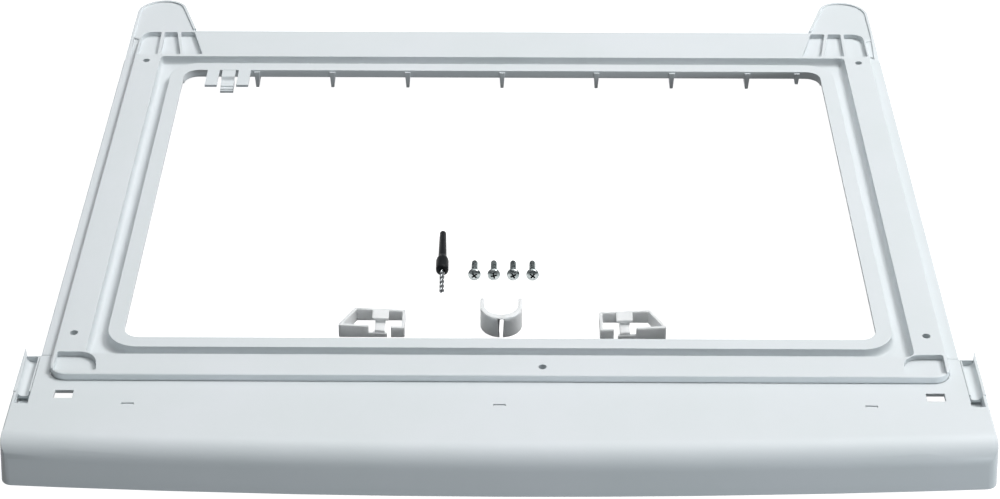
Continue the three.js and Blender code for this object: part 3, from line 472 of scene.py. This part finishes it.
def black_nylon(name):
    """Glass-filled black nylon: near black, half matt, with a fine speckle in its gloss."""
    material, tree, shader = plain_finish(name, "14171A", 0.5, ior=1.53)
    shader.inputs["Specular IOR Level"].default_value = 0.14
    place = add_node(tree, "ShaderNodeTexCoord").outputs["Object"]
    # The real speckle is about 0.2 mm wide, too fine to show, so it is drawn at 0.6 mm
    speckle = add_node(
        tree,
        "ShaderNodeTexNoise",
        {"Scale": per_metre(0.6), "Detail": 4.0, "Roughness": 0.7},
        {"Vector": place},
    )
    gloss = add_node(
        tree,
        "ShaderNodeMapRange",
        {"From Min": 0.3, "From Max": 0.7, "To Min": 0.4, "To Max": 0.58},
        {"Value": speckle.outputs["Fac"]},
    )
    tree.links.new(gloss.outputs["Result"], shader.inputs["Roughness"])
    tone = add_node(tree, "ShaderNodeValToRGB", None, {"Fac": speckle.outputs["Fac"]})
    tone.color_ramp.elements[0].color = linear("0C0E11")
    tone.color_ramp.elements[1].color = linear("181B1F")
    tree.links.new(tone.outputs["Color"], shader.inputs["Base Color"])
    bump = add_node(
        tree,
        "ShaderNodeBump",
        {"Strength": 0.3, "Distance": 0.03 * MM},
        {"Height": speckle.outputs["Fac"]},
    )
    tree.links.new(bump.outputs["Normal"], shader.inputs["Normal"])
    return material


# Pieces

def add_piece(name, work, material, body, node):
    """Makes an object of a bmesh, smooth-shaded, hangs it on its body's empty and hides the node that it
    stands for.
    """
    mesh = bpy.data.meshes.new(name)
    work.to_mesh(mesh)
    work.free()
    shade_smooth(mesh)
    mesh.materials.append(material)
    piece = bpy.data.objects.new(name, mesh)
    scene.collection.objects.link(piece)
    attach(piece, body)
    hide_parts(node)
    return piece


def shade_smooth(mesh):
    for polygon in mesh.polygons:
        polygon.use_smooth = True


def keep_sharp(piece, angle):
    """Keeps the edges that turn more than an angle sharp."""
    piece.data.set_sharp_from_angle(angle=math.radians(angle))


def round_edges(piece, width):
    """Rounds every sharp edge and keeps the faces between them flat to the eye."""
    rounding = piece.modifiers.new("edge_round", "BEVEL")
    rounding.width = width * MM
    rounding.segments = EDGE_SEGMENTS
    rounding.limit_method = "ANGLE"
    rounding.angle_limit = math.radians(EDGE_ANGLE)
    rounding.use_clamp_overlap = False
    rounding.loop_slide = False
    rounding.harden_normals = True
    facing = piece.modifiers.new("flat_faces", "WEIGHTED_NORMAL")
    facing.keep_sharp = True


def place_work(work, matrix):
    bmesh.ops.transform(work, matrix=matrix, verts=work.verts)


# Moulded pieces that keep the shape of their CAD node

def cut_in_cells(work, places, normal):
    """Cuts every face along parallel planes, and keeps the cuts as seams, so no face has a hole in it."""
    for place in places:
        cut = bmesh.ops.bisect_plane(
            work,
            geom=list(work.verts) + list(work.edges) + list(work.faces),
            dist=ON_PLANE * MM,
            plane_co=Vector(normal) * place * MM,
            plane_no=normal,
        )
        for item in cut["geom_cut"]:
            if isinstance(item, bmesh.types.BMEdge):
                item.seam = True


def within(value, limits):
    return limits[0] < value < limits[1]


def run_out(work):
    """Lets the ears' beads and plates run out on the rails without steps.

    The front corners' recesses draw in a little, so the edge beside them has room for its rounding."""
    bead_x = (BEAD_INNER_X - ON_LINE, BEAD_OUTER_X + ON_LINE)
    bead_edge_x = (BEAD_OUTER_X - BEAD_WELD, BEAD_OUTER_X + ON_LINE)
    for vert in work.verts:
        x, y, z = vert.co / MM
        out = abs(x)
        side = math.copysign(1.0, x)
        if abs(y - BEAD_END_Y) < BEAD_END_REACH and within(out, bead_x) and z > BEAD_LEAST_Z:
            vert.co.z = (RAIL_TOP + max(0.0, y - BEAD_END_Y) * BEAD_SLOPE) * MM
        if abs(y - BEAD_END_Y) < ON_LINE and within(out, bead_edge_x):
            vert.co.x += side * BEAD_FLARE * MM
        if within(y, EAR_END_Y) and within(out, EAR_END_X) and abs(z - RAIL_TOP) < ON_LINE:
            vert.co.y = EAR_RAMP_Y * MM
        if within(y, RECESS_WALL_Y) and within(out, RECESS_WALL_X) and z > RECESS_WALL_Z:
            vert.co.x -= side * RECESS_DRAW_IN * MM
    ends = []
    for vert in work.verts:
        x, y, z = vert.co / MM
        if within(y, BEAD_WELD_Y) and abs(x) > BEAD_WELD_X and z > BEAD_WELD_Z:
            ends.append(vert)
    bmesh.ops.remove_doubles(work, verts=ends, dist=BEAD_WELD * MM)
    bmesh.ops.remove_doubles(work, verts=work.verts, dist=ON_LINE * MM)


def moulded_skin(node, slot, material, body, edge, merge=0.05, columns=(), rows=(), reshape=None):
    """Stands for a moulded node: the same shape, with every sharp edge rounded as a mould leaves it."""
    work = bmesh.new()
    work.from_mesh(nodes[node].data)
    bmesh.ops.remove_doubles(work, verts=work.verts, dist=merge * MM)
    cut_in_cells(work, columns, (1.0, 0.0, 0.0))
    cut_in_cells(work, rows, (0.0, 1.0, 0.0))
    if reshape:
        reshape(work)
    bmesh.ops.dissolve_limit(
        work,
        angle_limit=math.radians(FLAT_ANGLE),
        use_dissolve_boundaries=False,
        verts=work.verts,
        edges=work.edges,
        delimit={"SEAM"},
    )
    piece = add_piece(node + "_skin", work, material, body, node)
    round_edges(piece, edge)


# Small turned pieces

def turned(profile, steps):
    """Spins a half section, a list of distances from the axis and heights, round the Z axis."""
    work = bmesh.new()
    corners = [work.verts.new((out, 0.0, up)) for out, up in profile]
    edges = [work.edges.new(pair) for pair in zip(corners, corners[1:])]
    bmesh.ops.spin(
        work,
        geom=corners + edges,
        cent=(0.0, 0.0, 0.0),
        axis=(0.0, 0.0, 1.0),
        dvec=(0.0, 0.0, 0.0),
        angle=math.tau,
        steps=steps,
        use_merge=True,
        use_duplicate=False,
    )
    bmesh.ops.remove_doubles(work, verts=work.verts, dist=SAME_POINT)
    bmesh.ops.recalc_face_normals(work, faces=work.faces)
    return work


def cut_away(piece, cutter_work):
    """Takes a cutter's shape out of a piece, for good."""
    mesh = bpy.data.meshes.new("cutter")
    cutter_work.to_mesh(mesh)
    cutter_work.free()
    cutter = bpy.data.objects.new("cutter", mesh)
    scene.collection.objects.link(cutter)
    cut = piece.modifiers.new("cut", "BOOLEAN")
    cut.operation = "DIFFERENCE"
    cut.solver = "EXACT"
    cut.object = cutter
    depsgraph = bpy.context.evaluated_depsgraph_get()
    finished = bpy.data.meshes.new_from_object(piece.evaluated_get(depsgraph))
    piece.modifiers.clear()
    piece.data = finished
    bpy.data.objects.remove(cutter)


def screw_place(index):
    """From the screw's own axis, seat at zero and head up, to where it lies on the worktop."""
    lift = WORKTOP + SCREW_HEAD_RADIUS * math.cos(SCREW_LEAN)
    return (
        Matrix.Scale(MM, 4)
        @ Matrix.Translation((SCREW_X[index], SCREW_SEAT_Y, lift))
        @ Matrix.Rotation(math.pi / 2 - SCREW_LEAN, 4, "X")
        @ Matrix.Rotation(math.radians(SCREW_TURNS[index]), 4, "Z")
    )


def screw_body():
    """Pan head, neck and core of the screw, down to its blunt point."""
    head = SCREW_HEAD_RADIUS
    profile = [
        (0.0, SCREW_HEAD_HEIGHT),
        (head * 0.3, SCREW_HEAD_HEIGHT - 0.05),
        (head * 0.55, SCREW_HEAD_HEIGHT - 0.25),
        (head * 0.76, SCREW_HEAD_HEIGHT - 0.66),
        (head * 0.9, SCREW_HEAD_HEIGHT - 1.2),
        (head * 0.98, SCREW_HEAD_HEIGHT - 1.8),
        (head, SCREW_HEAD_HEIGHT - 2.3),
        (head * 0.985, 0.15),
        (head * 0.94, 0.0),
        (SCREW_CORE_RADIUS + 0.45, 0.0),
        (SCREW_CORE_RADIUS + 0.1, -0.35),
        (SCREW_CORE_RADIUS, -0.8),
        (SCREW_CORE_RADIUS, SCREW_TIP_LENGTH - SCREW_LENGTH),
        (0.75, 0.9 - SCREW_LENGTH),
        (0.3, 0.1 - SCREW_LENGTH),
        (0.0, -SCREW_LENGTH),
    ]
    return turned(profile, SCREW_SIDES)


def screw_thread():
    """One sharp ridge wound round the core, which runs out under the head and on the point."""
    turns = (SCREW_LENGTH - THREAD_TIP_GAP - THREAD_HEAD_GAP) / THREAD_PITCH
    steps = int(turns * THREAD_STEPS)
    foot = THREAD_PITCH * THREAD_FOOT_SHARE
    start = THREAD_TIP_GAP - SCREW_LENGTH
    work = bmesh.new()
    section = [
        work.verts.new((THREAD_FOOT_RADIUS, 0.0, start - foot)),
        work.verts.new((THREAD_CREST_RADIUS, 0.0, start - THREAD_CREST / 2)),
        work.verts.new((THREAD_CREST_RADIUS, 0.0, start + THREAD_CREST / 2)),
        work.verts.new((THREAD_FOOT_RADIUS, 0.0, start + foot)),
    ]
    face = work.faces.new(section)
    bmesh.ops.spin(
        work,
        geom=[face] + section + list(face.edges),
        cent=(0.0, 0.0, 0.0),
        axis=(0.0, 0.0, 1.0),
        dvec=(0.0, 0.0, THREAD_PITCH / THREAD_STEPS),
        angle=math.tau * steps / THREAD_STEPS,
        steps=steps,
        use_merge=False,
        use_duplicate=False,
    )
    for vert in work.verts:
        from_tip = (vert.co.z + SCREW_LENGTH) / SCREW_TIP_LENGTH
        share = min(1.0, THREAD_TIP_SHARE + (1.0 - THREAD_TIP_SHARE) * from_tip)
        past_end = vert.co.z + THREAD_END_LENGTH
        if past_end >= 0.0:
            share = min(share, max(THREAD_END_SHARE, 1.0 - THREAD_END_SLOPE * past_end))
        vert.co.x *= share
        vert.co.y *= share
    bmesh.ops.recalc_face_normals(work, faces=work.faces)
    return work


def cross_cutter(angle):
    """One wing of the cross recess: wide at the top, narrow at the bottom."""
    work = bmesh.new()
    bmesh.ops.create_cube(work, size=1.0)
    bmesh.ops.scale(work, vec=(CROSS_SPAN, CROSS_WIDTH, CROSS_CUT), verts=work.verts)
    middle = SCREW_HEAD_HEIGHT - CROSS_DEPTH + CROSS_CUT / 2
    bmesh.ops.translate(work, vec=(0.0, 0.0, middle), verts=work.verts)
    for vert in work.verts:
        if vert.co.z < SCREW_HEAD_HEIGHT - CROSS_SHALLOW:
            vert.co.x *= CROSS_FOOT_SHARES[0]
            vert.co.y *= CROSS_FOOT_SHARES[1]
    place_work(work, Matrix.Rotation(angle, 4, "Z"))
    return work


def paint_shade_in_cross(mesh, place):
    """Gives the faces inside the cross recess the mesh's second material, whose dark colour is painted shade.
    """
    top = place @ Vector((0.0, 0.0, SCREW_HEAD_HEIGHT))
    axis = (top - place @ Vector((0.0, 0.0, 0.0))).normalized()
    for polygon in mesh.polygons:
        depth = axis.dot(top - polygon.center) / MM
        out = (polygon.center - top + axis * depth * MM).length / MM
        if out < CROSS_RADIUS and within(depth, CROSS_SHADE_PAINT_DEPTH):
            polygon.material_index = 1


def screw(index, material, cross_shade_paint):
    name = f"screw_{index + 1}"
    place = screw_place(index)
    piece = add_piece(name + "_body", screw_body(), material, name, name)
    for angle in (0.0, math.pi / 2):
        cut_away(piece, cross_cutter(angle))
    piece.data.transform(place)
    # The faces inside the cross get the dark material, which is painted shade
    piece.data.materials.append(cross_shade_paint)
    paint_shade_in_cross(piece.data, place)
    shade_smooth(piece.data)
    keep_sharp(piece, SCREW_SHARP_ANGLE)
    thread = screw_thread()
    place_work(thread, place)
    ridge = add_piece(name + "_thread", thread, material, name, name)
    keep_sharp(ridge, SCREW_SHARP_ANGLE)


def drill_place():
    """From the drill's own axis, collar end at zero and shank up, to where it lies on the worktop."""
    rest = COLLAR_SHOULDER + SHANK_LENGTH - SHANK_END_ROUND
    lean = math.atan2(COLLAR_RADIUS - SHANK_TOP_RADIUS, rest)
    lift = WORKTOP + COLLAR_RADIUS * math.cos(lean) + COLLAR_LENGTH * math.sin(lean)
    return (
        Matrix.Scale(MM, 4)
        @ Matrix.Translation((*DRILL_PLACE, lift))
        @ Matrix.Rotation(math.radians(DRILL_TURN), 4, "Z")
        @ Matrix.Rotation(-math.pi / 2 - lean, 4, "X")
    )


def drill_stop(material):
    """Black shank that widens to a collar, with rounded shoulders and a bore for the bit."""
    shoulder = COLLAR_LENGTH + COLLAR_SHOULDER
    top = shoulder + SHANK_LENGTH
    bore = BIT_RADIUS + BORE_CLEARANCE
    profile = [
        (0.0, BORE_DEPTH),
        (bore, BORE_DEPTH),
        (bore, 0.2),
        (bore + 0.15, 0.0),
        (COLLAR_RADIUS - 1.7, 0.0),
        (COLLAR_RADIUS - 1.2, 0.15),
        (COLLAR_RADIUS - 0.5, 0.75),
        (COLLAR_RADIUS - 0.1, 1.5),
        (COLLAR_RADIUS, 2.2),
        (COLLAR_RADIUS, COLLAR_LENGTH - 1.2),
        (COLLAR_RADIUS - 0.15, COLLAR_LENGTH),
        (COLLAR_RADIUS - 0.5, COLLAR_LENGTH + 1.6),
        (SHANK_FOOT_RADIUS + 0.35, COLLAR_LENGTH + 3.2),
        (SHANK_FOOT_RADIUS + 0.05, shoulder),
        (SHANK_FOOT_RADIUS - 0.05, shoulder + 1.2),
        (SHANK_TOP_RADIUS, top - SHANK_END_ROUND),
        (SHANK_TOP_RADIUS - 0.15, top - 0.35),
        (SHANK_TOP_RADIUS - 0.45, top - 0.08),
        (SHANK_TOP_RADIUS - 0.8, top),
        (0.0, top),
    ]
    work = turned(profile, STOP_SIDES)
    place_work(work, drill_place())
    piece = add_piece("drill_stop_body", work, material, "drill", "drill_stop")
    keep_sharp(piece, STOP_SHARP_ANGLE)


def drill_bit(material):
    """Twist bit: a round bar with two flutes, turned as it is drawn out, and ground to a point."""
    work = bmesh.new()
    ring = bmesh.ops.create_circle(work, cap_ends=False, radius=BIT_RADIUS, segments=BIT_SIDES)["verts"]
    for vert in ring:
        angle = math.atan2(vert.co.y, vert.co.x)
        flute = max(0.0, math.sin(angle * 2 + math.pi / 4)) ** FLUTE_FULLNESS
        vert.co *= 1.0 - FLUTE_SHARE * flute
    bmesh.ops.translate(work, vec=(0.0, 0.0, -BIT_REACH), verts=work.verts)
    length = BIT_REACH + BIT_SOCKET
    bmesh.ops.spin(
        work,
        geom=list(work.verts) + list(work.edges),
        cent=(0.0, 0.0, 0.0),
        axis=(0.0, 0.0, 1.0),
        dvec=(0.0, 0.0, length / BIT_STEPS),
        angle=math.tau * length / FLUTE_LEAD,
        steps=BIT_STEPS,
        use_merge=False,
        use_duplicate=False,
    )
    for vert in work.verts:
        along = (vert.co.z + BIT_REACH) / BIT_POINT
        share = min(1.0, BIT_POINT_SHARE + (1.0 - BIT_POINT_SHARE) * along)
        vert.co.x *= share
        vert.co.y *= share
    bmesh.ops.holes_fill(work, edges=work.edges, sides=0)
    bmesh.ops.recalc_face_normals(work, faces=work.faces)
    place_work(work, drill_place())
    piece = add_piece("drill_bit_body", work, material, "drill", "drill_bit")
    keep_sharp(piece, BIT_SHARP_ANGLE)


# Hose clip

def arc(work, vert, centre, degrees, steps):
    """Sweeps a vertex round a centre, seen from above, and gives back the last one."""
    swept = bmesh.ops.spin(
        work,
        geom=[vert],
        cent=(centre[0], centre[1], 0.0),
        axis=(0.0, 0.0, 1.0),
        dvec=(0.0, 0.0, 0.0),
        angle=math.radians(degrees),
        steps=steps,
        use_merge=False,
        use_duplicate=False,
    )
    return [item for item in swept["geom_last"] if isinstance(item, bmesh.types.BMVert)][0]


def straight(work, vert, x, y):
    """Draws an edge from a vertex to a point, and gives back its end."""
    end = work.verts.new((x, y, 0.0))
    work.edges.new((vert, end))
    return end


def raise_faces(work, faces, along):
    """Extrudes faces by a vector."""
    raised = bmesh.ops.extrude_face_region(work, geom=faces)["geom"]
    moved = [item for item in raised if isinstance(item, bmesh.types.BMVert)]
    bmesh.ops.translate(work, vec=along, verts=moved)


def horseshoe():
    """The clip's outline from above, raised to its height."""
    bore_y = CLIP_FRONT_WALL + CLIP_BORE_HALF
    tip = (CLIP_HALF - CLIP_BORE_HALF) / 2
    arm_end = CLIP_LENGTH - tip
    work = bmesh.new()
    first = work.verts.new((CLIP_HALF, CLIP_HALF, 0.0))
    last = straight(work, first, CLIP_HALF, arm_end)
    last = arc(work, last, (CLIP_HALF - tip, arm_end), 180, CLIP_TIP_STEPS)
    last = straight(work, last, CLIP_BORE_HALF, bore_y)
    last = arc(work, last, (0.0, bore_y), -180, CLIP_BORE_STEPS)
    last = straight(work, last, -CLIP_BORE_HALF, arm_end)
    last = arc(work, last, (tip - CLIP_HALF, arm_end), 180, CLIP_TIP_STEPS)
    last = straight(work, last, -CLIP_HALF, CLIP_HALF)
    arc(work, last, (0.0, CLIP_HALF), 180, CLIP_FRONT_STEPS)
    bmesh.ops.remove_doubles(work, verts=work.verts, dist=SAME_POINT)
    base = bmesh.ops.contextual_create(work, geom=work.edges)["faces"]
    raise_faces(work, base, (0.0, 0.0, CLIP_HEIGHT))
    bmesh.ops.recalc_face_normals(work, faces=work.faces)
    return work


def slit_cutter():
    """The slit through the clip's front, narrower at its foot, which leaves a thin bridge on top."""
    work = bmesh.new()
    bmesh.ops.create_cube(work, size=1.0)
    bmesh.ops.scale(work, vec=(CLIP_SLIT, CLIP_SLIT_CUT, CLIP_HEIGHT), verts=work.verts)
    for vert in work.verts:
        if vert.co.z < 0.0:
            vert.co.x *= CLIP_SLIT_FOOT_SHARE
    bmesh.ops.translate(work, vec=(0.0, CLIP_SLIT_Y, CLIP_HEIGHT / 2 - CLIP_BRIDGE), verts=work.verts)
    return work


def hose_clip(material):
    """Horseshoe with a thick front, slender round-ended arms and a slit under a thin bridge."""
    piece = add_piece("hose_clip_body", horseshoe(), material, "hose_clip", "hose_clip")
    cut_away(piece, slit_cutter())
    piece.data.transform(Matrix.Scale(MM, 4) @ Matrix.Translation((CLIP_X, CLIP_FRONT_Y, WORKTOP)))
    shade_smooth(piece.data)
    round_edges(piece, CLIP_EDGE)


# Cable holder's tongue

def tongue_height(out):
    """Height of the tongue's end part over its root, below zero, at a distance from the root."""
    (near, near_up), (far, far_up) = TONGUE_LINE[-2:]
    return near_up + (far_up - near_up) * (out - near) / (far - near)


def cable_tongue(material):
    """A tongue that steps down once and carries two low ridges for the cable to click behind."""
    width = TONGUE_X[1] - TONGUE_X[0]
    step = -TONGUE_LINE[-2][1]
    work = bmesh.new()
    top = []
    under = []
    for out, up in TONGUE_LINE:
        y = TONGUE_ROOT_Y - out
        z = TONGUE_TOP + up
        top.append(work.verts.new((0.0, y, z)))
        under.append(work.verts.new((0.0, y + TONGUE_UNDER_SHIFT * up / step, z - TONGUE_THICKNESS)))
    base = work.faces.new(top + under[::-1])
    raise_faces(work, [base], (width, 0.0, 0.0))
    bmesh.ops.translate(work, vec=(TONGUE_X[0], 0.0, 0.0), verts=work.verts)
    for out in TONGUE_RIDGES:
        ridge = bmesh.ops.create_cube(work, size=1.0)["verts"]
        bmesh.ops.scale(work, vec=(width - RIDGE_INSET, RIDGE_LENGTH, RIDGE_HEIGHT), verts=ridge)
        middle = (sum(TONGUE_X) / 2, TONGUE_ROOT_Y - out, TONGUE_TOP + tongue_height(out))
        bmesh.ops.translate(work, vec=middle, verts=ridge)
    bmesh.ops.recalc_face_normals(work, faces=work.faces)
    place_work(work, Matrix.Scale(MM, 4))
    piece = add_piece("cable_tongue_strip", work, material, "cable_tongue", "cable_tongue")
    round_edges(piece, TONGUE_EDGE)


# Stage

def floor_and_worktop():
    """A white floor under the cover's lower edge, and a white worktop under the frame.
"""
    white = bpy.data.materials.new("studio_white")
    white.use_nodes = True
    shader = white.node_tree.nodes["Principled BSDF"]
    shader.inputs["Base Color"].default_value = linear("AAAAAA")
    shader.inputs["Roughness"].default_value = 0.9
    shader.inputs["Specular IOR Level"].default_value = 0.1
    shader.inputs["Emission Color"].default_value = linear("FFFFFF")
    shader.inputs["Emission Strength"].default_value = 1.0
    for name, corners in STAGE_SLABS.items():
        low, high = (Vector(corner) * MM for corner in corners)
        work = bmesh.new()
        bmesh.ops.create_cube(work, size=1.0)
        bmesh.ops.scale(work, vec=high - low, verts=work.verts)
        bmesh.ops.translate(work, vec=(high + low) / 2, verts=work.verts)
        mesh = bpy.data.meshes.new(name)
        work.to_mesh(mesh)
        work.free()
        mesh.materials.append(white)
        slab = bpy.data.objects.new(name, mesh)
        scene.collection.objects.link(slab)
        slab.visible_diffuse = False


photo_camera()
studio_light()
floor_and_worktop()

frame_abs = moulded_plastic("frame_abs", "D6DBDE", "D3D9DB", roughness=0.42, grain=0.5, grain_depth=0.02)
cover_abs = moulded_plastic("cover_abs", "D6DBDE", "D3D9DB", roughness=0.48, grain=0.5, grain_depth=0.015)
clip_abs = moulded_plastic("clip_abs", "D8DDE0", "D5DBDD", roughness=0.36, grain=0.5, grain_depth=0.015)
loose_nylon = moulded_plastic(
    "loose_nylon", "EFF2F3", "EBEFF0", roughness=0.4, grain=0.4, grain_depth=0.015, glow=5.0
)
zinc = zinc_plate("zinc_plate")
# A dark material that paints shade into the screws' cross recesses
recess_shade_paint = painted_recess_shade("painted_recess_shade")

cells = {"columns": CELL_COLUMNS, "rows": CELL_ROWS}
moulded_skin("tray_frame", "frame_plastic", frame_abs, "kit", edge=0.22, merge=0.3, reshape=run_out, **cells)
moulded_skin("front_fascia", "fascia_plastic", cover_abs, "kit", edge=0.35, merge=0.1, **cells)
for side_clip in ("side_clip_left", "side_clip_right"):
    moulded_skin(side_clip, "clip_plastic", clip_abs, "kit", edge=0.25)
cable_tongue(frame_abs)
for bracket in ("wedge_bracket_left", "wedge_bracket_right"):
    moulded_skin(bracket, "loose_plastic", loose_nylon, bracket, edge=0.3)
hose_clip(loose_nylon)
for number in range(len(SCREW_X)):
    screw(number, zinc, recess_shade_paint)
drill_stop(black_nylon("black_nylon"))
drill_bit(ground_tool_steel("ground_tool_steel"))
